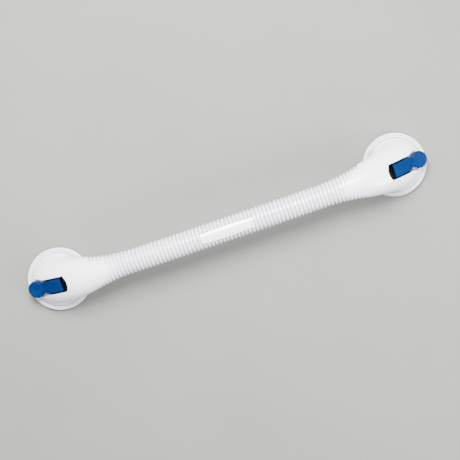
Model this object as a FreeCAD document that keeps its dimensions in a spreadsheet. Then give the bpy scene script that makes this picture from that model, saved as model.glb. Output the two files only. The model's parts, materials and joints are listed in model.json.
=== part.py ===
import FreeCAD, Part
import math
import os

import Sketcher
from FreeCAD import Placement, Rotation, Vector

# A suction grab bar lying on its two cups.  +X runs along the bar, +Z points away from the wall,
# and the origin is on the wall plane midway between the cups.  A head is described in its own
# frame: origin on the wall under the cup centre, +X outboard (towards the lever's thumb pad).

os.makedirs("parts", exist_ok=True)
doc = FreeCAD.newDocument("SuctionGrabBar")

# ---------------------------------------------------------------- driving dimensions, in mm
SIZES = [
    ("head_offset", 240), ("grip_radius", 15.9), ("grip_axis_height", 57.1), ("shell_wall", 2.6),
    ("rib_count", 73), ("rib_span", 374), ("straight_ribs", 27), ("rib_depth", 1.2),
    ("rib_groove_radius", 1.7),
    ("panel_length", 74), ("panel_width", 15), ("back_shell_end", 188), ("seam_gap", 0.25),
    ("lip_radius", 40.3), ("lip_top", 10.6), ("shell_bottom", 9),
    ("flange_radius", 43), ("flange_bottom", 2.8), ("locating_radius", 34.9), ("base_wall_radius", 31.3),
    ("base_floor_bottom", 13), ("base_floor_top", 15.5), ("base_opening_radius", 14),
    ("cup_radius", 42), ("cup_land_radius", 33.5), ("cup_thickness", 1.6), ("cup_centre_lift", 4),
    ("foot_radius", 10), ("foot_thickness", 2.5), ("collar_radius", 4.4), ("collar_height", 4),
    ("rod_radius", 2.9), ("guide_radius", 3), ("eye_radius", 4.2), ("pin_radius", 2),
    ("pin_clearance", 0.05), ("pin_length", 17), ("pin_height", 45),
    ("cam_locked", 10.5), ("cam_open", 6.5), ("cam_clearance", 0.03), ("lever_travel", 90),
    ("plate_thickness", 1.5),
    ("frame_floor", 3), ("frame_wall", 0.8), ("frame_inboard", 16.9), ("frame_outboard", 14),
    ("frame_flange_reach", 24.5), ("frame_flange_thickness", 2.5), ("frame_screw_reach", 20.6),
    ("liner_window", 9.4), ("liner_hidden_top", 50), ("liner_outboard", 11),
    ("liner_low_top", 36), ("slot_width", 22.2), ("slot_end", 14.6), ("slot_arc_rise", 3.2),
    ("lever_width", 17.4),
    ("lever_waist", 13.6), ("pad_radius", 11.5), ("pad_thickness", 5), ("pad_reach", 31.8),
    ("pad_height", 30.2), ("pad_tilt", 20), ("scoop_clearance", 1.7), ("scoop_start", 19), ("scoop_full", 26),
    ("boss_radius", 3.8), ("boss_spread", 18), ("screw_radius", 1.75), ("screw_head_radius", 3.2),
    ("frame_screw_radius", 1.5),
    ("spring_radius", 5.6), ("spring_wire", 1.2), ("spring_turns", 5.5),
]
sheet = doc.addObject("Spreadsheet::Sheet", "Sizes")
for row, (alias, value) in enumerate(SIZES, start=1):
    sheet.set("A%d" % row, alias.replace("_", " "))
    sheet.set("B%d" % row, str(value))
    sheet.setAlias("B%d" % row, alias)
doc.recompute()


def size(alias):
    return float(sheet.get(alias))


# The two heads are the same parts, turned half a turn about Z from each other.
HEADS = {
    "left": Placement(Vector(-size("head_offset"), 0, 0), Rotation(Vector(0, 0, 1), 180)),
    "right": Placement(Vector(size("head_offset"), 0, 0), Rotation()),
}
pieces = []


def finished(piece, label, placement=Placement()):
    """Name a sub-part, place it and list it for export."""
    piece.Label = label
    piece.Placement = placement
    pieces.append(piece)
    return piece


def shaped(label, shape, placement=Placement()):
    """A sub-part whose shape is worked out from the sheet by the functions below."""
    piece = doc.addObject("Part::Feature", label)
    piece.Shape = shape
    return finished(piece, label, placement)


def bound(kind, name, place=Vector(), turn=Rotation(), **expressions):
    """A Part primitive with its sizes bound to the sheet."""
    primitive = doc.addObject(kind, name)
    primitive.Placement = Placement(place, turn)
    for prop, expression in expressions.items():
        primitive.setExpression(prop.replace("__", "."), expression)
    return primitive


def cylinder(name, radius, height, bottom, along=0, across=0):
    return bound("Part::Cylinder", name, Vector(along, across, 0), Radius=radius, Height=height,
                 Placement__Base__z=bottom)


def fused(name, *shapes):
    fuse = doc.addObject("Part::MultiFuse", name)
    fuse.Shapes = list(shapes)
    return fuse


def cut(name, base, tool):
    result = doc.addObject("Part::Cut", name)
    result.Base = base
    result.Tool = tool
    return result


def revolved(profile):
    """Solid of revolution about Z from (radius, height) points."""
    corners = [Vector(radius, 0, height) for radius, height in profile]
    face = Part.Face(Part.makePolygon(corners + corners[:1]))
    return face.revolve(Vector(), Vector(0, 0, 1), 360)


def prism(points, start, end):
    """Solid from (x, y) points between two heights."""
    corners = [Vector(x, y, start) for x, y in points]
    face = Part.Face(Part.makePolygon(corners + corners[:1]))
    return face.extrude(Vector(0, 0, end - start))


def side_prism(edges, half_width):
    """Solid from edges in the XZ plane, carried half_width to each side of it."""
    face = Part.Face(Part.Wire(edges))
    face.translate(Vector(0, -half_width, 0))
    return face.extrude(Vector(0, 2 * half_width, 0))


def side_polygon(points, half_width):
    corners = [Vector(x, 0, z) for x, z in points]
    return side_prism(Part.makePolygon(corners + corners[:1]).Edges, half_width)


def upright(radius, bottom, top, x=0, y=0):
    return Part.makeCylinder(radius, top - bottom, Vector(x, y, bottom))


# ---------------------------------------------------------------- the bar's outer form
# The middle of the grip is round and straight.  Each end is a run of ellipses, given in the head
# frame by outer point, wall-side point and half width, that swing upright from the head's foot and
# shrink into the grip.
RIB_PITCH = size("rib_span") / (size("rib_count") - 1)
JOIN = RIB_PITCH * (size("straight_ribs") - 1) / 2
JOIN_IN_HEAD = JOIN - size("head_offset")
END_ROWS = 40
END_COLUMNS = 28
STEP_AT_JOIN = 0.12


def end_sections():
    radius = size("grip_radius")
    height = size("grip_axis_height")
    foot = size("lip_radius") - 1.4
    bottom = size("shell_bottom")
    return [
        (foot, bottom, -foot, bottom, foot),
        (37.2, 11.0, -38.2, 10.4, 37.0),
        (35.9, 15.0, -38.4, 12.4, 35.4),
        (33.4, 21.5, -39.6, 15.0, 33.6),
        (27.0, 31.0, -41.8, 18.0, 31.4),
        (15.0, 41.6, -45.0, 21.2, 29.8),
        (-3.0, 52.9, -49.5, 24.2, 27.6),
        (-25.0, 61.6, -56.5, 27.4, 24.8),
        (-50.0, 65.9, -67.0, 30.6, 21.2),
        (-77.0, 68.0, -83.0, 34.2, 17.7),
        (-104.0, 69.7, -104.0, 37.9, radius),
        (-124.0, height + radius - 1.6, -124.0, height - radius - 1.6, radius),
        (-144.0, height + radius - 0.6, -144.0, height - radius - 0.6, radius),
        (JOIN_IN_HEAD, height + radius, JOIN_IN_HEAD, height - radius, radius),
        (JOIN_IN_HEAD - 12, height + radius, JOIN_IN_HEAD - 12, height - radius, radius),
    ]


def smooth_rows(points):
    """Evenly spaced points on a smooth curve through the sections."""
    curve = Part.BSplineCurve()
    curve.interpolate(Points=points, Parameters=SECTION_STATIONS)
    last = SECTION_STATIONS[-1]
    return [curve.value(last * row / (END_ROWS - 1)) for row in range(END_ROWS)]


def section_stations():
    """Distance along the bent centre line, measured between the middles of the sections."""
    sections = end_sections()
    stations = [0.0]
    for (ax, az, bx, bz, _), (cx, cz, dx, dz, _) in zip(sections, sections[1:]):
        outer_step = math.hypot(cx - ax, cz - az)
        inner_step = math.hypot(dx - bx, dz - bz)
        stations.append(stations[-1] + (outer_step + inner_step) / 2)
    return stations


SECTION_STATIONS = section_stations()


def end_form(inset):
    """One end of the bar as a solid, its surface set in from the outer form by inset."""
    sections = end_sections()
    outer = smooth_rows([Vector(ax, 0, az) for ax, az, _, _, _ in sections])
    inner = smooth_rows([Vector(bx, 0, bz) for _, _, bx, bz, _ in sections])
    widths = smooth_rows([Vector(station, width, 0) for station, (_, _, _, _, width)
                          in zip(SECTION_STATIONS, sections)])
    grid = []
    for far, near, width in zip(outer, inner, widths):
        centre = (far + near) * 0.5
        up = (far - near) * 0.5
        up = up * ((up.Length - inset) / up.Length)
        across = Vector(0, width.y - inset, 0)
        turns = [math.pi + 2 * math.pi * column / END_COLUMNS for column in range(END_COLUMNS + 1)]
        grid.append([centre + up * math.cos(turn) + across * math.sin(turn) for turn in turns])
    surface = Part.BSplineSurface()
    surface.interpolate(grid)
    first, last = surface.bounds()[:2]
    caps = [Part.Face(Part.Wire(surface.uIso(edge).toShape())) for edge in (first, last)]
    solid = Part.Solid(Part.makeShell([surface.toShape()] + caps))
    if solid.Volume < 0:
        solid.reverse()
    return solid


def side_of_join(length=300):
    """Box over the head's side of the plane where an end joins the straight grip."""
    return Part.makeBox(length, 200, 200, Vector(JOIN_IN_HEAD, -100, -50))


def in_row(shape, head):
    """Carry a head-frame shape to one of the heads."""
    copy = shape.copy()
    copy.Placement = HEADS[head]
    return copy


def grip_section(form, along):
    """Centre height and radius of the bar in the head frame at a place along it."""
    box = form.slice(Vector(1, 0, 0), along)[0].BoundBox
    return box.Center.z, box.YLength / 2


def straight_grip():
    """Ribbed middle of the grip, turned from one profile with a rounded groove between ribs."""
    radius, height = size("grip_radius"), size("grip_axis_height")
    groove, depth = size("rib_groove_radius"), size("rib_depth")
    half_mouth = math.sqrt(groove ** 2 - (groove - depth) ** 2)
    start = Vector(-JOIN, 0, height + radius - depth)
    edges = []
    at = start
    count = int(size("straight_ribs"))
    for index in range(count):
        middle = -JOIN + index * RIB_PITCH
        bottom = Vector(middle, 0, height + radius - depth)
        mouth_in, mouth_out = [Vector(middle + way * half_mouth, 0, height + radius) for way in (-1, 1)]
        slope = math.asin(half_mouth / groove) / 2
        lift = height + radius - depth + groove * (1 - math.cos(slope))
        if index > 0:
            edges.append(Part.makeLine(at, mouth_in))
            shoulder = Vector(middle - groove * math.sin(slope), 0, lift)
            edges.append(Part.Arc(mouth_in, shoulder, bottom).toShape())
        if index < count - 1:
            shoulder = Vector(middle + groove * math.sin(slope), 0, lift)
            edges.append(Part.Arc(bottom, shoulder, mouth_out).toShape())
            at = mouth_out
    end = Vector(JOIN, 0, height + radius - depth)
    axis_end, axis_start = Vector(JOIN, 0, height), Vector(-JOIN, 0, height)
    edges += Part.makePolygon([end, axis_end, axis_start, start]).Edges
    face = Part.Face(Part.Wire(edges))
    ribbed = face.revolve(axis_start, Vector(1, 0, 0), 360)
    plain = Part.makeCylinder(radius, size("panel_length"), Vector(-size("panel_length") / 2, 0, height),
                              Vector(1, 0, 0))
    ribbed = ribbed.fuse(plain.common(label_panel()))
    bore = Part.makeCylinder(radius - size("shell_wall") - 0.2, 2 * JOIN, axis_start, Vector(1, 0, 0))
    columns = [upright(size("screw_head_radius") + 1.6, 20, HEAD_TOP, x) for x in STRAIGHT_SCREWS]
    return ribbed.cut(bore.cut(columns))


def end_grooves(form):
    """Ring cutters that carry the ribs on along one end, up to the smooth neck."""
    stand_off = size("rib_groove_radius") - size("rib_depth")
    rings = []
    for index in range(int((size("rib_count") - size("straight_ribs")) / 2) + 1):
        along = JOIN_IN_HEAD + index * RIB_PITCH
        height, radius = grip_section(form, along)
        lift = STEP_AT_JOIN if index == 0 else 0
        rings.append(Part.makeTorus(radius + stand_off + lift, size("rib_groove_radius"),
                                    Vector(along, 0, height), Vector(1, 0, 0)))
    return rings


def label_panel():
    """Prism over the smooth lens-shaped panel in the middle of the grip."""
    half_length, half_width = size("panel_length") / 2, size("panel_width") / 2
    end_width = half_width * 0.85
    height = size("grip_axis_height")
    edges = []
    for side in (1, -1):
        start = Vector(-side * half_length, side * end_width, height)
        middle = Vector(0, side * half_width, height)
        end = Vector(side * half_length, side * end_width, height)
        edges.append(Part.Arc(start, middle, end).toShape())
        edges.append(Part.makeLine(end, Vector(side * half_length, -side * end_width, height)))
    return Part.Face(Part.Wire(edges)).extrude(Vector(0, 0, 2 * size("grip_radius")))


# ---------------------------------------------------------------- openings in a head, head frame
PIN = Vector(0, 0, size("pin_height"))
PLATE_TOP = size("pin_height") - size("cam_locked") - size("cam_clearance")
FRAME_FLOOR_TOP = PLATE_TOP - size("plate_thickness")
FRAME_FLOOR_BOTTOM = FRAME_FLOOR_TOP - size("frame_floor")
PLATE_INBOARD = size("cam_open") + 2.7
PLATE_OUTBOARD = size("frame_outboard") - 1.4
TILT = math.radians(size("pad_tilt"))
SLOT_OUTBOARD = size("frame_outboard") + 0.5
HEAD_TOP = 80


def lever_slot():
    """Slot through the head above the cam frame, with its inboard end an arc."""
    half = size("slot_width") / 2
    corner = size("slot_arc_rise") - size("slot_end")
    points = [Vector(corner, -half, 20), Vector(SLOT_OUTBOARD, -half, 20), Vector(SLOT_OUTBOARD, half, 20),
              Vector(corner, half, 20)]
    arc = Part.Arc(points[3], Vector(-size("slot_end"), 0, 20), points[0]).toShape()
    face = Part.Face(Part.Wire(Part.makePolygon(points).Edges + [arc]))
    return face.extrude(Vector(0, 0, HEAD_TOP - 20))


def pad_floor(clearance):
    """Height of the scoop's floor above the wall where it meets the slot."""
    underside = size("pad_height") - size("pad_thickness") / math.cos(TILT)
    return underside + (size("pad_reach") - SLOT_OUTBOARD) * math.tan(TILT) - clearance


def thumb_scoop(growth):
    """Recess under the thumb pad, growing from the slot's width to clear the pad."""
    half = size("slot_width") / 2 + growth
    wide = size("pad_radius") + size("scoop_clearance") + growth
    start, full, reach = size("scoop_start"), size("scoop_full"), 60
    outline = [(SLOT_OUTBOARD, -half), (start, -half), (full, -wide), (reach, -wide), (reach, wide),
               (full, wide), (start, half), (SLOT_OUTBOARD, half)]
    floor = pad_floor(size("scoop_clearance") + growth)
    below = side_polygon([(0, 0), (reach, 0), (reach, floor - (reach - SLOT_OUTBOARD) * math.tan(TILT)),
                          (0, floor + SLOT_OUTBOARD * math.tan(TILT))], 30)
    return prism(outline, 5, HEAD_TOP).cut(below)


def screw_spots(spread):
    return [(x, y) for x in (-spread, spread) for y in (-spread, spread)]


# ---------------------------------------------------------------- shells
STRAIGHT_SCREWS = (-50, 50)
NECK_SCREW = 178 - size("head_offset")
SEAM_END = size("back_shell_end") - size("head_offset")


def seam_region(form, gap):
    """Wall side of the seam in the head frame: it follows the centre line down to the neck."""
    end = SEAM_END - gap
    stations = [JOIN_IN_HEAD - 20, JOIN_IN_HEAD, -144, -122, -104, -86, -70, end]
    points = []
    for along in stations:
        height = size("grip_axis_height") if along <= JOIN_IN_HEAD else grip_section(form, along)[0]
        points.append(Vector(along, 0, height - gap))
    curve = Part.BSplineCurve()
    curve.interpolate(points)
    low = [Vector(end, 0, 0), Vector(stations[0], 0, 0)]
    edges = [curve.toShape()] + Part.makePolygon([points[-1]] + low + [points[0]]).Edges
    return side_prism(edges, size("flange_radius"))


def hollow_end(form):
    """One end of the hollow bar, before it is parted: head, neck and the last ribs."""
    ribbed = form.cut(end_grooves(form))
    lip = upright(size("lip_radius"), size("shell_bottom"), size("lip_top"))
    lip = lip.makeChamfer(0.6, [lip.Edges[0]])
    solid = ribbed.fuse(lip).common(side_of_join())
    mouth = upright(size("lip_radius") - 4.2, size("shell_bottom") - 4, size("shell_bottom") + 1)
    hollow = end_form(size("shell_wall")).fuse(mouth).cut(thumb_scoop(size("shell_wall") - 0.4))
    columns = [upright(size("boss_radius"), size("base_floor_top"), HEAD_TOP, x, y)
               for x, y in screw_spots(size("boss_spread"))]
    columns.append(upright(size("screw_head_radius") + 1.6, 20, HEAD_TOP, NECK_SCREW))
    return solid.cut(hollow.cut(columns)).cut([lever_slot(), thumb_scoop(0)])


def shell_screw_tools(x, seam):
    """Clearance and counterbore in the back shell, and the thread hole in the front shell."""
    seat = seam - 5
    clearance = upright(size("screw_radius") + 0.25, seat, seam, x)
    counterbore = upright(size("screw_head_radius") + 0.2, seat - 25, seat, x)
    thread = upright(size("screw_radius"), seam - 1, seam + 9, x)
    return clearance.fuse(counterbore), thread


def screw(x, y, seat, length, direction, radius):
    """Pan-head screw: head behind the seat, shank carried on past it."""
    axis = Vector(0, 0, direction)
    point = Vector(x, y, seat)
    head = Part.makeCylinder(size("screw_head_radius"), 2, point, -axis)
    rim = max(head.Edges, key=lambda edge: -direction * edge.CenterOfMass.z)
    head = head.makeFillet(0.8, [rim])
    recess = Part.makeCylinder(1.1, 1.2, point - axis * 2, axis)
    shank = Part.makeCylinder(radius, length, point, axis)
    return head.fuse(shank).cut(recess)


form = end_form(0)
end = hollow_end(form)
neck_seam = grip_section(form, NECK_SCREW)[0]
neck_clearance, neck_thread = shell_screw_tools(NECK_SCREW, neck_seam)
base_threads = [upright(size("screw_radius"), 0, 27, x, y) for x, y in screw_spots(size("boss_spread"))]
front_end = end.cut([seam_region(form, 0), neck_thread] + base_threads)
back_end = end.common(seam_region(form, size("seam_gap"))).cut(neck_clearance)

grip = straight_grip()
grip_height = size("grip_axis_height")
grip_tools = [shell_screw_tools(x, grip_height) for x in STRAIGHT_SCREWS]
over = Part.makeBox(4 * JOIN, 100, 100, Vector(-2 * JOIN, -50, grip_height))
under = Part.makeBox(4 * JOIN, 100, 100, Vector(-2 * JOIN, -50, grip_height - 100 - size("seam_gap")))
front_grip = grip.common(over).cut([thread for _, thread in grip_tools])
back_grip = grip.common(under).cut([clearance for clearance, _ in grip_tools])
shaped("front_shell", front_grip.fuse([in_row(front_end, head) for head in HEADS]))
shaped("back_shell", back_grip.fuse([in_row(back_end, head) for head in HEADS]))

shell_screws = [screw(x, 0, grip_height - 5, 13, 1, size("screw_radius")) for x in STRAIGHT_SCREWS]
neck_screw = screw(NECK_SCREW, 0, neck_seam - 5, 13, 1, size("screw_radius"))
shell_screws += [in_row(neck_screw, head) for head in HEADS]
shaped("shell_screws", Part.Compound(shell_screws))


# ---------------------------------------------------------------- base ring and suction cup
def base_ring(head):
    """Housing that presses the cup's rim to the wall and carries the mechanism on its floor."""
    flange, locating, wall = size("flange_radius"), size("locating_radius"), size("base_wall_radius")
    low, seat = size("flange_bottom"), size("shell_bottom")
    floor_low, floor_top = size("base_floor_bottom"), size("base_floor_top")
    ring = revolved([
        (size("cup_land_radius"), low), (flange - 0.6, low), (flange, low + 0.6), (flange, seat - 1),
        (flange - 1, seat), (size("lip_radius") + 0.4, seat), (size("lip_radius") - 0.4, seat - 0.8),
        (size("lip_radius") - 1.2, seat), (locating, seat), (locating, seat + 0.8), (wall, floor_low + 0.2),
        (wall, floor_top), (size("base_opening_radius"), floor_top),
        (size("base_opening_radius"), floor_low), (wall - 2.5, floor_low), (size("cup_land_radius"), seat)])
    holes = [upright(size("screw_radius") + 0.25, 0, 30, x, y) for x, y in screw_spots(size("boss_spread"))]
    for x in (-size("frame_screw_reach"), size("frame_screw_reach")):
        ring = ring.fuse(upright(3.6, floor_low - 3, floor_top, x))
        holes.append(upright(size("frame_screw_radius"), 0, 30, x))
    return shaped(head + "_base_ring", ring.cut(holes), HEADS[head])


def suction_cup(head):
    """Rubber cup with its centre drawn off the wall by the locked lever."""
    land, rim = size("cup_land_radius"), size("cup_radius")
    lift, thick = size("cup_centre_lift"), size("cup_thickness")
    foot, top = size("foot_radius"), size("flange_bottom")
    centre_bottom = Vector(0, 0, lift)
    centre_top = Vector(0, 0, lift + thick)
    under = Part.BSplineCurve()
    under.interpolate([Vector(foot, 0, lift), Vector((foot + land) / 2, 0, lift * 0.62),
                       Vector(land, 0, 0.3)])
    over = Part.BSplineCurve()
    over.interpolate([Vector(land, 0, top), Vector((foot + land) / 2, 0, lift * 0.62 + thick),
                      Vector(foot, 0, lift + thick)])
    rim_line = [Vector(land, 0, 0.3), Vector(land + 0.6, 0, 0), Vector(rim - 0.4, 0, 0), Vector(rim, 0, 0.4),
                Vector(rim, 0, top - 0.4), Vector(rim - 0.4, 0, top), Vector(land, 0, top)]
    edges = [Part.makeLine(centre_bottom, Vector(foot, 0, lift)), under.toShape()]
    edges += Part.makePolygon(rim_line).Edges
    edges += [over.toShape(), Part.makeLine(Vector(foot, 0, lift + thick), centre_top),
              Part.makeLine(centre_top, centre_bottom)]
    face = Part.Face(Part.Wire(edges))
    return shaped(head + "_suction_cup", face.revolve(Vector(), Vector(0, 0, 1), 360), HEADS[head])


# ---------------------------------------------------------------- pull mechanism of one head
def pull_rod(head):
    """Foot bonded to the cup, collar inside the spring, shank, and the eye round the pivot pin."""
    name = head + "_pull_rod_"
    foot = cylinder(name + "foot", "Sizes.foot_radius", "Sizes.foot_thickness",
                    "Sizes.cup_centre_lift + Sizes.cup_thickness")
    collar = cylinder(name + "collar", "Sizes.collar_radius",
                      "Sizes.collar_height + Sizes.foot_thickness",
                      "Sizes.cup_centre_lift + Sizes.cup_thickness")
    shank = cylinder(name + "shank", "Sizes.rod_radius",
                     "Sizes.pin_height - Sizes.cup_centre_lift - Sizes.cup_thickness",
                     "Sizes.cup_centre_lift + Sizes.cup_thickness")
    sideways = Rotation(Vector(1, 0, 0), 90)
    eye = bound("Part::Cylinder", name + "eye", Vector(), sideways, Radius="Sizes.eye_radius",
                Height="2 * Sizes.rod_radius + 0.2", Placement__Base__y="Sizes.rod_radius + 0.1",
                Placement__Base__z="Sizes.pin_height")
    hole = bound("Part::Cylinder", name + "hole", Vector(0, 20, 0), sideways,
                 Radius="Sizes.pin_radius + Sizes.pin_clearance", Placement__Base__z="Sizes.pin_height")
    hole.Height = 40
    rod = cut(name + "body", fused(name + "blank", foot, collar, shank, eye), hole)
    return finished(rod, head + "_pull_rod", HEADS[head])


def pivot_pin(head):
    pin = bound("Part::Cylinder", head + "_pin_body", Vector(), Rotation(Vector(1, 0, 0), 90),
                Radius="Sizes.pin_radius", Height="Sizes.pin_length",
                Placement__Base__y="Sizes.pin_length / 2", Placement__Base__z="Sizes.pin_height")
    holder = doc.addObject("Part::Compound", head + "_pin")
    holder.Links = [pin]
    return finished(holder, head + "_pivot_pin", HEADS[head])


def return_spring(head):
    """Compression spring round the rod, from its foot up to the cam frame's floor."""
    wire = size("spring_wire") / 2
    low = size("cup_centre_lift") + size("cup_thickness") + size("foot_thickness") + wire + 0.05
    high = FRAME_FLOOR_BOTTOM - wire - 0.05
    helix = Part.makeHelix((high - low) / size("spring_turns"), high - low, size("spring_radius"))
    helix.translate(Vector(0, 0, low))
    section = Part.Wire(Part.Circle(Vector(size("spring_radius"), 0, low), Vector(0, 1, 0), wire).toShape())
    coil = Part.Wire(helix.Edges).makePipeShell([section], True, True)
    return shaped(head + "_return_spring", coil, HEADS[head])


def wear_plate(head):
    """Steel plate under the cam, a padded sketch with a hole for the rod."""
    body = doc.addObject("PartDesign::Body", head + "_plate_body")
    sketch = body.newObject("Sketcher::SketchObject", head + "_plate_sketch")
    ground = [plane for plane in body.Origin.OriginFeatures if plane.Role == "XY_Plane"][0]
    sketch.AttachmentSupport = (ground, [""])
    sketch.MapMode = "FlatFace"
    half, hole_radius = size("lever_width") / 2 + 0.2, size("guide_radius") + 0.4
    corners = [(-PLATE_INBOARD, -half), (PLATE_OUTBOARD, -half),
               (PLATE_OUTBOARD, half), (-PLATE_INBOARD, half)]
    for index, (x, y) in enumerate(corners):
        next_x, next_y = corners[(index + 1) % 4]
        sketch.addGeometry(Part.LineSegment(Vector(x, y, 0), Vector(next_x, next_y, 0)))
    for index in range(4):
        sketch.addConstraint(Sketcher.Constraint("Coincident", index, 2, (index + 1) % 4, 1))
    for line in (0, 2):
        sketch.addConstraint(Sketcher.Constraint("Horizontal", line))
        sketch.addConstraint(Sketcher.Constraint("Vertical", line + 1))
    bounds = [("DistanceX", PLATE_OUTBOARD, 1, "Sizes.frame_outboard - 1.4"),
              ("DistanceX", -PLATE_INBOARD, 0, "-Sizes.cam_open - 2.7"),
              ("DistanceY", -half, 0, "-Sizes.lever_width / 2 - 0.2"),
              ("DistanceY", half, 2, "Sizes.lever_width / 2 + 0.2")]
    for kind, value, line, expression in bounds:
        at = sketch.addConstraint(Sketcher.Constraint(kind, -1, 1, line, 1, value))
        sketch.setExpression("Constraints[%d]" % at, expression)
    hole = sketch.addGeometry(Part.Circle(Vector(), Vector(0, 0, 1), hole_radius))
    sketch.addConstraint(Sketcher.Constraint("Coincident", hole, 3, -1, 1))
    at = sketch.addConstraint(Sketcher.Constraint("Radius", hole, hole_radius))
    sketch.setExpression("Constraints[%d]" % at, "Sizes.guide_radius + 0.4")
    pad = body.newObject("PartDesign::Pad", head + "_plate_pad")
    pad.Profile = sketch
    pad.setExpression("Length", "Sizes.plate_thickness")
    lift = Placement(Vector(0, 0, FRAME_FLOOR_TOP), Rotation())
    return finished(body, head + "_wear_plate", HEADS[head].multiply(lift))


def cam_frame(head):
    """Black frame that lines the lever's slot, guides the rod and holds the wear plate."""
    inboard, outboard = size("frame_inboard"), size("frame_outboard")
    half = size("slot_width") / 2 - 0.1
    wall = size("frame_wall")
    bottom, window = size("base_floor_top"), -size("liner_window")
    skin = form.copy()
    skin.translate(Vector(0, 0, -0.5))
    visible = prism([(window, -half), (outboard, -half), (outboard, half), (window, half)], bottom, HEAD_TOP)
    hidden = prism([(-inboard, -half), (window, -half), (window, half), (-inboard, half)], bottom,
                   size("liner_hidden_top"))
    block = visible.common(skin).fuse(hidden)
    inside = half - wall
    well = prism([(1.5 - inboard, -inside), (outboard - 1, -inside), (outboard - 1, inside),
                  (1.5 - inboard, inside)], FRAME_FLOOR_TOP, HEAD_TOP)
    chamber = prism([(1.5 - inboard, 1.2 - half), (outboard - 1.5, 1.2 - half), (outboard - 1.5, half - 1.2),
                     (1.5 - inboard, half - 1.2)], 0, FRAME_FLOOR_BOTTOM)
    sill = prism([(outboard - 2, -inside), (outboard + 1, -inside), (outboard + 1, inside),
                  (outboard - 2, inside)], FRAME_FLOOR_TOP, HEAD_TOP)
    step = prism([(size("liner_outboard"), -half - 1), (outboard + 1, -half - 1), (outboard + 1, half + 1),
                  (size("liner_outboard"), half + 1)], size("liner_low_top"), HEAD_TOP)
    block = block.cut([well, chamber, sill, step, upright(size("guide_radius"), 0, HEAD_TOP)])
    reach, thick = size("frame_flange_reach"), size("frame_flange_thickness")
    for side, wall_at in ((-1, inboard), (1, outboard)):
        lug = prism([(side * (wall_at - 1.5), -6), (side * reach, -6), (side * reach, 6),
                     (side * (wall_at - 1.5), 6)], bottom, bottom + thick)
        block = block.fuse(lug.cut(upright(size("frame_screw_radius") + 0.2, 0, 40,
                                           side * size("frame_screw_reach"))))
    return shaped(head + "_cam_frame", block, HEADS[head])


# ---------------------------------------------------------------- lever
def cam_point(angle):
    """The cam is an involute: its support falls evenly from locked to open as the lever turns."""
    locked, opened = size("cam_locked"), size("cam_open")
    rate = (locked - opened) / math.radians(size("lever_travel"))
    turned = math.radians(270 - angle)
    support = locked - rate * turned
    outward = Vector(math.cos(math.radians(angle)), 0, math.sin(math.radians(angle)))
    along = Vector(-outward.z, 0, outward.x)
    return PIN + outward * support + along * rate


def lever_profile():
    """Side view of the lever's body: cam, rounded inner end, sloping top and flat stop."""
    cam = Part.BSplineCurve()
    cam.interpolate([cam_point(270 - size("lever_travel") * step / 8) for step in range(9)])
    cam_start, cam_end = cam.StartPoint, cam.EndPoint
    inner = cam_end.x
    top = Part.BSplineCurve()
    top.interpolate([Vector(inner + 1.3, 0, 54.4), Vector(0, 0, 51.4), Vector(10, 0, 44.5),
                     Vector(19, 0, 36.6), Vector(25, 0, 32.4)])
    corner_start = Vector(inner, 0, 53.6)
    corner = Part.Arc(corner_start, Vector(inner + 0.4, 0, 54.4), top.StartPoint).toShape()
    stop = Vector(13, 0, cam_start.z)
    tail = [top.EndPoint, Vector(25, 0, 27.4), Vector(19, 0, 29.4), stop, cam_start]
    edges = [cam.toShape(), Part.makeLine(cam_end, corner_start), corner, top.toShape()]
    return edges + Part.makePolygon(tail).Edges


def lever_outline():
    """Plan of the lever's body: full width over the pivot, curving in to the waist."""
    half, waist = size("lever_width") / 2, size("lever_waist") / 2
    edges = []
    shoulders = [Vector(13.5, half, 0), Vector(17.8, half - 0.8, 0), Vector(20.8, waist, 0)]
    mirrored = [Vector(point.x, -point.y, 0) for point in shoulders]
    edges.append(Part.Arc(*shoulders).toShape())
    edges += Part.makePolygon([shoulders[2], Vector(26, waist, 0), Vector(26, -waist, 0), mirrored[2]]).Edges
    edges.append(Part.Arc(mirrored[2], mirrored[1], mirrored[0]).toShape())
    edges += Part.makePolygon([mirrored[0], Vector(-14, -half, 0), Vector(-14, half, 0), shoulders[0]]).Edges
    return Part.Face(Part.Wire(edges)).extrude(Vector(0, 0, HEAD_TOP))


def thumb_pad():
    """Round pad, tilted outward, with softened edges and a shallow thumb dish."""
    radius, thick = size("pad_radius"), size("pad_thickness")
    pad = Part.makeCylinder(radius, thick, Vector(0, 0, -thick))
    pad = pad.makeFillet(1.0, [edge for edge in pad.Edges if edge.Length > 6 * radius])
    dish_radius = 60
    dish = Part.makeSphere(dish_radius, Vector(0, 0, dish_radius - 0.5))
    pad = pad.cut(dish)
    pad.Placement = Placement(Vector(size("pad_reach"), 0, size("pad_height")),
                              Rotation(Vector(0, 1, 0), size("pad_tilt")))
    return pad


def lever(head):
    """Locking lever with its two cam cheeks either side of the rod's eye."""
    body = side_prism(lever_profile(), size("lever_width") / 2).common(lever_outline())
    sharp = [edge for edge in body.Edges if edge.Length > 8 and edge.BoundBox.ZMax > 50
             and edge.BoundBox.YLength < 0.5 and edge.BoundBox.ZMin > 36]
    body = body.makeFillet(0.6, sharp)
    slot_half = size("rod_radius") + 0.3
    pin = size("pin_height")
    room = size("eye_radius") + 0.3
    slot = Part.makeCylinder(room, 2 * slot_half, Vector(0, slot_half, pin), Vector(0, -1, 0))
    slot = slot.fuse([Part.makeBox(13 + room, 2 * slot_half, 16, Vector(-13, -slot_half, pin - 16)),
                      Part.makeBox(13, 2 * slot_half, 16 + slot_half, Vector(-13, -slot_half, pin - 16))])
    bore = Part.makeCylinder(size("pin_radius"), 40, Vector(0, 20, pin), Vector(0, -1, 0))
    return shaped(head + "_lever", body.fuse(thumb_pad()).cut([slot, bore]), HEADS[head])


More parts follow.
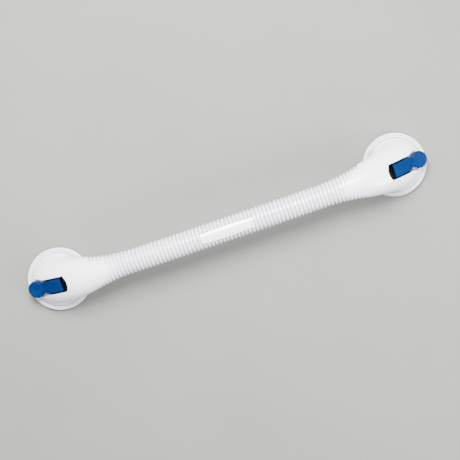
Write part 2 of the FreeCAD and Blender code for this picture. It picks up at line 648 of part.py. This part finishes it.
base_screws, frame_screws = [], []
for head in HEADS:
    base_ring(head)
    suction_cup(head)
    pull_rod(head)
    pivot_pin(head)
    return_spring(head)
    wear_plate(head)
    cam_frame(head)
    lever(head)
    for x, y in screw_spots(size("boss_spread")):
        upward = screw(x, y, size("base_floor_bottom"), 13.5, 1, size("screw_radius"))
        base_screws.append(in_row(upward, head))
    for x in (-size("frame_screw_reach"), size("frame_screw_reach")):
        seat = size("base_floor_top") + size("frame_flange_thickness")
        downward = screw(x, 0, seat, 7.5, -1, size("frame_screw_radius"))
        frame_screws.append(in_row(downward, head))
shaped("base_screws", Part.Compound(base_screws))
shaped("cam_frame_screws", Part.Compound(frame_screws))

# ---------------------------------------------------------------- check and write
doc.recompute()
for item in doc.Objects:
    if "Invalid" in item.State or "Error" in item.State:
        raise RuntimeError("%s did not build: %s" % (item.Label, item.State))
for piece in pieces:
    if piece.Shape.isNull() or not piece.Shape.isValid():
        raise RuntimeError("%s has no valid shape" % piece.Label)
    print("%-20s %2d solid(s) %9.1f mm3" % (piece.Label, len(piece.Shape.Solids), piece.Shape.Volume))
    piece.Shape.exportStep("parts/%s.step" % piece.Label)
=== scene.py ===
import json
import math

import bpy
from mathutils import Matrix, Vector


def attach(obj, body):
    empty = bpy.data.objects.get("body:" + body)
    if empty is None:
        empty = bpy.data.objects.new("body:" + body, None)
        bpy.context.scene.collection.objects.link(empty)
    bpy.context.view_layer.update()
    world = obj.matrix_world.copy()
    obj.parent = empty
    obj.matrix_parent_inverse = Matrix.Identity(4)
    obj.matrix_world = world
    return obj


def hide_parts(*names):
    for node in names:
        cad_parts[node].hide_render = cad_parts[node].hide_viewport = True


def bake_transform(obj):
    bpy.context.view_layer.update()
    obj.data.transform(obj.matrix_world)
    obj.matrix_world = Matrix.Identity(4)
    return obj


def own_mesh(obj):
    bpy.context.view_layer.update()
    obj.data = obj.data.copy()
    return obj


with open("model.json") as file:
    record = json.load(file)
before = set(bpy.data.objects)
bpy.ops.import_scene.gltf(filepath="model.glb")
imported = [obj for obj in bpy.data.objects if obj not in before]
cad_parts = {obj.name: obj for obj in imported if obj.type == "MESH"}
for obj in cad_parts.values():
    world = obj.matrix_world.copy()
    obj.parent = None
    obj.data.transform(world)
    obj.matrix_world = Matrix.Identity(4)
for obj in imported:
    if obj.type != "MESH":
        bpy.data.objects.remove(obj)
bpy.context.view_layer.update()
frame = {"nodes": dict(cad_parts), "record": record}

# A suction grab bar on its two cups.  +X runs along the bar and +Z points away from the wall, which
# is the pale floor here.  Lengths are in metres.

MM = 0.001
HEADS = {"left": -1, "right": 1}


# ---------------------------------------------------------------- materials
def carried(nodes, links, value, low, high, start, end):
    """Carry a value that goes from start to end into one that goes from low to high."""
    ramp = nodes.new("ShaderNodeMapRange")
    for name, number in (("From Min", start), ("From Max", end), ("To Min", low), ("To Max", high)):
        ramp.inputs[name].default_value = number
    links.new(value, ramp.inputs["Value"])
    return ramp.outputs["Result"]


class Finish:
    """A principled material with short calls for the textures that vary it."""

    def __init__(self, name, colour, roughness, **inputs):
        self.material = bpy.data.materials.new(name)
        self.material.use_nodes = True
        self.nodes = self.material.node_tree.nodes
        self.links = self.material.node_tree.links
        self.shader = self.nodes["Principled BSDF"]
        self.set("Base Color", (*colour, 1))
        self.set("Roughness", roughness)
        for option, value in inputs.items():
            self.set(option.replace("_", " "), value)
        self.place = self.nodes.new("ShaderNodeTexCoord").outputs["Object"]
        self.normal = None

    def set(self, name, value):
        self.shader.inputs[name].default_value = value

    def stretched(self, scale):
        mapping = self.nodes.new("ShaderNodeMapping")
        mapping.inputs["Scale"].default_value = scale
        self.links.new(self.place, mapping.inputs["Vector"])
        return mapping.outputs["Vector"]

    def noise(self, size, detail=3, place=None):
        """Noise whose features are about size metres across."""
        texture = self.nodes.new("ShaderNodeTexNoise")
        texture.inputs["Scale"].default_value = 1 / size
        texture.inputs["Detail"].default_value = detail
        self.links.new(place or self.place, texture.inputs["Vector"])
        return texture.outputs["Fac"]

    def spread(self, value, low, high, start=0.3, end=0.7):
        """Carry a texture's value into a range."""
        return carried(self.nodes, self.links, value, low, high, start, end)

    def tint(self, share, first, second):
        """Colour that goes from first to second with share."""
        mix = self.nodes.new("ShaderNodeMix")
        mix.data_type = "RGBA"
        self.links.new(share, mix.inputs["Factor"])
        for socket, colour in ((mix.inputs[6], first), (mix.inputs[7], second)):
            if isinstance(colour, tuple):
                socket.default_value = (*colour, 1)
            else:
                self.links.new(colour, socket)
        return mix.outputs[2]

    def feed(self, name, value):
        self.links.new(value, self.shader.inputs[name])

    def bump(self, height, depth):
        """Add relief, depth metres deep, over what is there already."""
        bump = self.nodes.new("ShaderNodeBump")
        bump.inputs["Distance"].default_value = depth
        self.links.new(height, bump.inputs["Height"])
        if self.normal:
            self.links.new(self.normal, bump.inputs["Normal"])
        self.normal = bump.outputs["Normal"]
        self.links.new(self.normal, self.shader.inputs["Normal"])

    def crevice(self, distance):
        """Near 1 on open surfaces and lower in grooves and corners."""
        shade = self.nodes.new("ShaderNodeAmbientOcclusion")
        shade.inputs["Distance"].default_value = distance
        shade.samples = 8
        return shade.outputs["AO"]

    def soften(self, radius):
        """Round the look of sharp moulded edges; it comes before any bump."""
        edge = self.nodes.new("ShaderNodeBevel")
        edge.inputs["Radius"].default_value = radius
        edge.samples = 6
        self.normal = edge.outputs["Normal"]


def white_plastic(name, groove_shade_colour):
    """Moulded white plastic: soft gloss, faint flow marks, and painted shade in its grooves."""
    lilac_white, bright_white = (0.87, 0.815, 0.895), (0.91, 0.86, 0.93)
    finish = Finish(name, (0.88, 0.85, 0.9), 0.3, Coat_Weight=0.8, Coat_IOR=1.65, Coat_Roughness=0.18)
    flow = finish.noise(0.05, place=finish.stretched((0.4, 1, 1)))
    body = finish.tint(finish.spread(flow, 0, 1), lilac_white, bright_white)
    # Painted shade: ambient occlusion darkens grooves and corners towards the groove shade colour.
    painted_groove_shade = finish.spread(finish.crevice(3 * MM), 1, 0, 0.72, 0.98)
    finish.feed("Base Color", finish.tint(painted_groove_shade, body, groove_shade_colour))
    finish.feed("Roughness", finish.spread(finish.noise(0.012), 0.26, 0.36))
    finish.soften(0.5 * MM)
    finish.bump(finish.noise(0.35 * MM, 2), 0.004 * MM)
    finish.bump(finish.noise(9 * MM, 1), 0.02 * MM)
    return finish.material


def blue_plastic(name):
    """Blue lever moulding: fine grain, paler scuffs where fingers press, and painted shade in its corners."""
    finish = Finish(name, (0.0, 0.013, 0.07), 0.5, Specular_IOR_Level=0.05)
    cloud = finish.spread(finish.noise(6 * MM), 0, 1)
    body = finish.tint(cloud, (0.0, 0.012, 0.062), (0.0, 0.018, 0.084))
    scuff = finish.spread(finish.noise(1.1 * MM, 6, finish.stretched((1, 0.25, 1))), 0, 0.5, 0.62, 0.8)
    worn = finish.tint(scuff, body, (0.001, 0.026, 0.105))
    # Painted shade: ambient occlusion darkens corners and creases towards a near-black blue.
    painted_corner_shade = finish.spread(finish.crevice(0.9 * MM), 1, 0, 0.4, 0.95)
    finish.feed("Base Color", finish.tint(painted_corner_shade, worn, (0.0, 0.004, 0.026)))
    finish.feed("Roughness", finish.spread(finish.noise(2 * MM), 0.36, 0.5))
    finish.soften(0.3 * MM)
    finish.bump(finish.noise(0.28 * MM, 2), 0.012 * MM)
    return finish.material


def black_plastic(name):
    """Matt black moulding with a fine eroded grain."""
    finish = Finish(name, (0.002, 0.002, 0.002), 0.5, Specular_IOR_Level=0.2)
    grain = finish.noise(0.4 * MM, 3)
    finish.feed("Base Color", finish.tint(finish.spread(grain, 0, 1), (0.001,) * 3, (0.003,) * 3))
    finish.feed("Roughness", finish.spread(finish.noise(3 * MM), 0.42, 0.6))
    finish.soften(0.25 * MM)
    finish.bump(grain, 0.02 * MM)
    return finish.material


def rubber(name):
    """Dark grey rubber, slightly dusty with a soft bloom."""
    finish = Finish(name, (0.012, 0.012, 0.013), 0.62, Sheen_Weight=0.1)
    bloom = finish.spread(finish.noise(7 * MM, 5), 0, 1)
    finish.feed("Base Color", finish.tint(bloom, (0.008, 0.008, 0.009), (0.02, 0.02, 0.022)))
    finish.feed("Roughness", finish.spread(finish.noise(1.5 * MM), 0.52, 0.74))
    finish.bump(finish.noise(0.3 * MM, 2), 0.01 * MM)
    return finish.material


def steel(name, along, tone=0.4):
    """Bright metal with drawn or rolled lines along an axis and small dull patches."""
    finish = Finish(name, (tone, tone, tone * 1.01), 0.28, Metallic=1)
    lines = finish.noise(0.25 * MM, 4, finish.stretched(along))
    patches = finish.spread(finish.noise(2.5 * MM, 4), 0, 1)
    low, high = (tone * 0.85,) * 3, (tone * 1.12,) * 3
    finish.feed("Base Color", finish.tint(patches, low, high))
    finish.feed("Roughness", finish.spread(lines, 0.2, 0.42))
    finish.bump(lines, 0.006 * MM)
    return finish.material


FINISHES = {
    # The second value of each white finish is the colour of the painted shade in its grooves.
    "white_shell": white_plastic("white_shell", (0.17, 0.145, 0.18)),
    "white_ring": white_plastic("white_ring", (0.5, 0.47, 0.52)),
    "blue_lever": blue_plastic("blue_lever"),
    "black_frame": black_plastic("black_frame"),
    "rod_plastic": black_plastic("rod_plastic"),
    "cup_rubber": rubber("cup_rubber"),
    "plate_steel": steel("plate_steel", (0.05, 1, 1), 0.012),
    "pin_steel": steel("pin_steel", (1, 0.05, 1)),
    "spring_steel": steel("spring_steel", (1, 1, 1), 0.3),
    "screw_steel": steel("screw_steel", (1, 1, 0.1)),
}


def dress(piece, finish):
    piece.data.materials.clear()
    piece.data.materials.append(FINISHES[finish])
    return piece


for part in frame["record"]["subparts"]:
    dress(frame["nodes"][part["node"]], part["material_slot"])


# ---------------------------------------------------------------- pieces that change shape or add detail
def meshed(name, points, faces, finish, crease=35):
    """A mesh object with smooth faces and edges that stay sharp where the surface turns by crease degrees."""
    mesh = bpy.data.meshes.new(name)
    mesh.from_pydata(points, [], faces)
    mesh.validate()
    mesh.polygons.foreach_set("use_smooth", [True] * len(mesh.polygons))
    mesh.set_sharp_from_angle(angle=math.radians(crease))
    piece = bpy.data.objects.new(name, mesh)
    bpy.context.collection.objects.link(piece)
    return dress(piece, finish)


def turned(name, profile, centre_x, finish, segments=96):
    """A closed ring or disk turned about an upright line from (radius, height) points in mm."""
    points = []
    for step in range(segments):
        turn = 2 * math.pi * step / segments
        points += [(centre_x + radius * MM * math.cos(turn), radius * MM * math.sin(turn), height * MM)
                   for radius, height in profile]
    count = len(profile)
    faces = []
    for step in range(segments):
        here, after = step * count, (step + 1) % segments * count
        for index in range(count):
            beyond = (index + 1) % count
            faces.append((here + index, after + index, after + beyond, here + beyond))
    return meshed(name, points, faces, finish)


def tube(name, path, radius, finish, around=12):
    """A round rod along a path of points, closed at both ends."""
    points, faces = [], []
    for index, place in enumerate(path):
        ahead = path[min(index + 1, len(path) - 1)] - path[max(index - 1, 0)]
        side = ahead.cross(Vector((0, 0, 1))).normalized()
        lift = side.cross(ahead).normalized()
        for step in range(around):
            turn = 2 * math.pi * step / around
            points.append(place + (side * math.cos(turn) + lift * math.sin(turn)) * radius)
    for index in range(len(path) - 1):
        for step in range(around):
            after = (step + 1) % around
            faces.append((index * around + step, index * around + after, (index + 1) * around + after,
                          (index + 1) * around + step))
    faces.append(tuple(reversed(range(around))))
    faces.append(tuple(range((len(path) - 1) * around, len(path) * around)))
    return meshed(name, points, faces, finish)


def suction_cup(head, centre_x):
    """The rim stays on the wall and the web, drawn off it by the rod, is turned in one fixed shape; nothing
    here makes it sink as the lever opens.
    """
    rim_profile = [(33.2, 0.25), (34.1, 0), (36.6, 0), (36.9, 0.35), (37.7, 0.35), (38, 0), (41.6, 0),
                   (42, 0.4), (42, 2.4), (41.6, 2.8), (33.2, 2.8)]
    rim = turned(head + "_cup_rim", rim_profile, centre_x, "cup_rubber")
    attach(rim, "root")
    under_web = [(0.05, 4.0), (9.5, 4.0), (12, 3.92), (17, 3.5), (22, 2.75), (27, 1.8), (31, 0.85),
                 (33.6, 0.3)]
    over_web = [(33.6, 2.6), (31, 2.62), (27, 3.3), (22, 4.2), (17, 5.05), (12, 5.5), (9.5, 5.6), (0.05, 5.6)]
    web = turned(head + "_cup_web", under_web + over_web, centre_x, "cup_rubber")
    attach(web, "root")
    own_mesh(web)
    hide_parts(head + "_suction_cup")


def return_spring(head, centre_x):
    """Compression spring with closed ground ends, from the rod's foot up to the cam frame's floor."""
    low, high = 8.15, 29.9
    wire, radius, turns, closed = 0.6, 5.6, 7.5, 1
    steps = 28
    closed_pitch = 2 * wire * 1.02
    open_turns = turns - 2 * closed
    open_pitch = (high - low - 2 * wire - 2 * closed * closed_pitch) / open_turns
    path = []
    for index in range(int(turns * steps) + 1):
        turn = index / steps
        at_ends = min(turn, closed) + max(turn - (turns - closed), 0)
        rise = at_ends * closed_pitch + min(max(turn - closed, 0), open_turns) * open_pitch
        angle = 2 * math.pi * turn
        path.append(Vector((centre_x + radius * MM * math.cos(angle), radius * MM * math.sin(angle),
                            (low + wire + rise) * MM)))
    coil = tube(head + "_spring_coil", path, wire * MM, "spring_steel")
    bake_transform(coil)
    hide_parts(head + "_return_spring")


def thumb_cap(head, side):
    """Round top of the lever's pad: soft edge, raised ring that the thumb catches, shallow dish."""
    reach, height, tilt = 0.2718, 0.0302, math.radians(20)
    edge = [(10.9, -3.9), (11.55, -3.9), (11.55, -1), (11.45, -0.6), (11.2, -0.24), (10.85, 0)]
    ring = [(10.6, 0.08), (10.4, 0.34), (10.05, 0.46), (9.7, 0.4), (9.45, 0.14), (9.2, 0.06)]
    dish = [(7.8, 0.05), (6, -0.15), (4, -0.32), (2, -0.42), (0.02, -0.45)]
    inside = [(0.02, -1.5), (10.9, -1.5)]
    cap = turned(head + "_thumb_cap", edge + ring + dish + inside, 0, "blue_lever")
    cap.data.transform(Matrix.Translation((side * reach, 0, height)) @ Matrix.Rotation(side * tilt, 4, "Y"))
    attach(cap, head + "_lever")


for head, side in HEADS.items():
    suction_cup(head, side * 0.24)
    return_spring(head, side * 0.24)
    thumb_cap(head, side)


# ---------------------------------------------------------------- stage, light and camera
def stage_floor():
    """Pale wall-coloured floor under the cups."""
    finish = Finish("pale_floor", (0.175, 0.177, 0.166), 0.7)
    cloud = finish.spread(finish.noise(0.25, 4), 0, 1)
    finish.feed("Base Color", finish.tint(cloud, (0.168, 0.17, 0.159), (0.184, 0.186, 0.175)))
    mesh = bpy.data.meshes.new("floor")
    reach = 4
    mesh.from_pydata([(-reach, -reach, 0), (reach, -reach, 0), (reach, reach, 0), (-reach, reach, 0)], [],
                     [(0, 1, 2, 3)])
    mesh.materials.append(finish.material)
    floor = bpy.data.objects.new("floor", mesh)
    floor.location.z = -0.05 * MM
    bpy.context.collection.objects.link(floor)


def aimed(name, data, place, target):
    """A new object at a place with its -Z axis towards a target."""
    thing = bpy.data.objects.new(name, data)
    thing.location = place
    thing.rotation_euler = (Vector(target) - Vector(place)).to_track_quat("-Z", "Y").to_euler()
    bpy.context.collection.objects.link(thing)
    return thing


def disk_light(name, place, size, power):
    """Round lamp of a size in metres and a power in watts, aimed at the bar's middle."""
    data = bpy.data.lights.new(name, "AREA")
    data.shape = "DISK"
    data.size = size
    data.energy = power
    return aimed(name, data, place, (0, 0, 0.03))


def sky(up):
    """Sky that lights from overhead and the key's side and looks plain and pale behind the object."""
    dim, bright, backdrop = 0.03, 3.1, 1.1
    world = bpy.data.worlds.new("studio")
    world.use_nodes = True
    nodes, links = world.node_tree.nodes, world.node_tree.links
    background = nodes["Background"]
    background.inputs["Color"].default_value = (0.97, 0.965, 1, 1)
    towards = nodes.new("ShaderNodeVectorMath")
    towards.operation = "DOT_PRODUCT"
    towards.inputs[1].default_value = (up * 0.75 + Vector((0, 0, 0.66))).normalized()
    links.new(nodes.new("ShaderNodeTexCoord").outputs["Generated"], towards.inputs[0])
    glow = carried(nodes, links, towards.outputs["Value"], dim, bright, 0, 0.95)
    choice = nodes.new("ShaderNodeMix")
    links.new(nodes.new("ShaderNodeLightPath").outputs["Is Camera Ray"], choice.inputs["Factor"])
    links.new(glow, choice.inputs["A"])
    choice.inputs["B"].default_value = backdrop
    links.new(choice.outputs["Result"], background.inputs["Strength"])
    bpy.context.scene.world = world


def studio():
    """Soft key from above the bar, a low fill on the right, and a sky."""
    up, right = Vector((0.33, 0.94, 0)), Vector((0.94, -0.33, 0))
    disk_light("key", up * 0.9 - right * 0.2 + Vector((0, 0, 1.5)), 0.75, 130)
    disk_light("fill", right * 1.2 - up * 0.45 + Vector((0, 0, 0.9)), 0.8, 34)
    sky(up)


def camera():
    """Almost square to the wall, a little above the bar's middle, rolled so that the bar climbs."""
    place = Vector((0.0812, 0.3615, 1.9997))
    target = Vector((0.0020, -0.0078, 0.0297))
    roll = math.radians(-19.23)
    forward = (target - place).normalized()
    right = forward.cross(Vector((0, 1, 0))).normalized()
    up = right.cross(forward)
    turned_right = right * math.cos(roll) + up * math.sin(roll)
    turned_up = up * math.cos(roll) - right * math.sin(roll)
    data = bpy.data.cameras.new("camera")
    data.sensor_width = 36
    data.lens = 116.97
    thing = bpy.data.objects.new("camera", data)
    rotation = Matrix((turned_right, turned_up, -forward)).transposed()
    thing.matrix_world = Matrix.Translation(place) @ rotation.to_4x4()
    bpy.context.collection.objects.link(thing)
    bpy.context.scene.camera = thing


stage_floor()
studio()
camera()
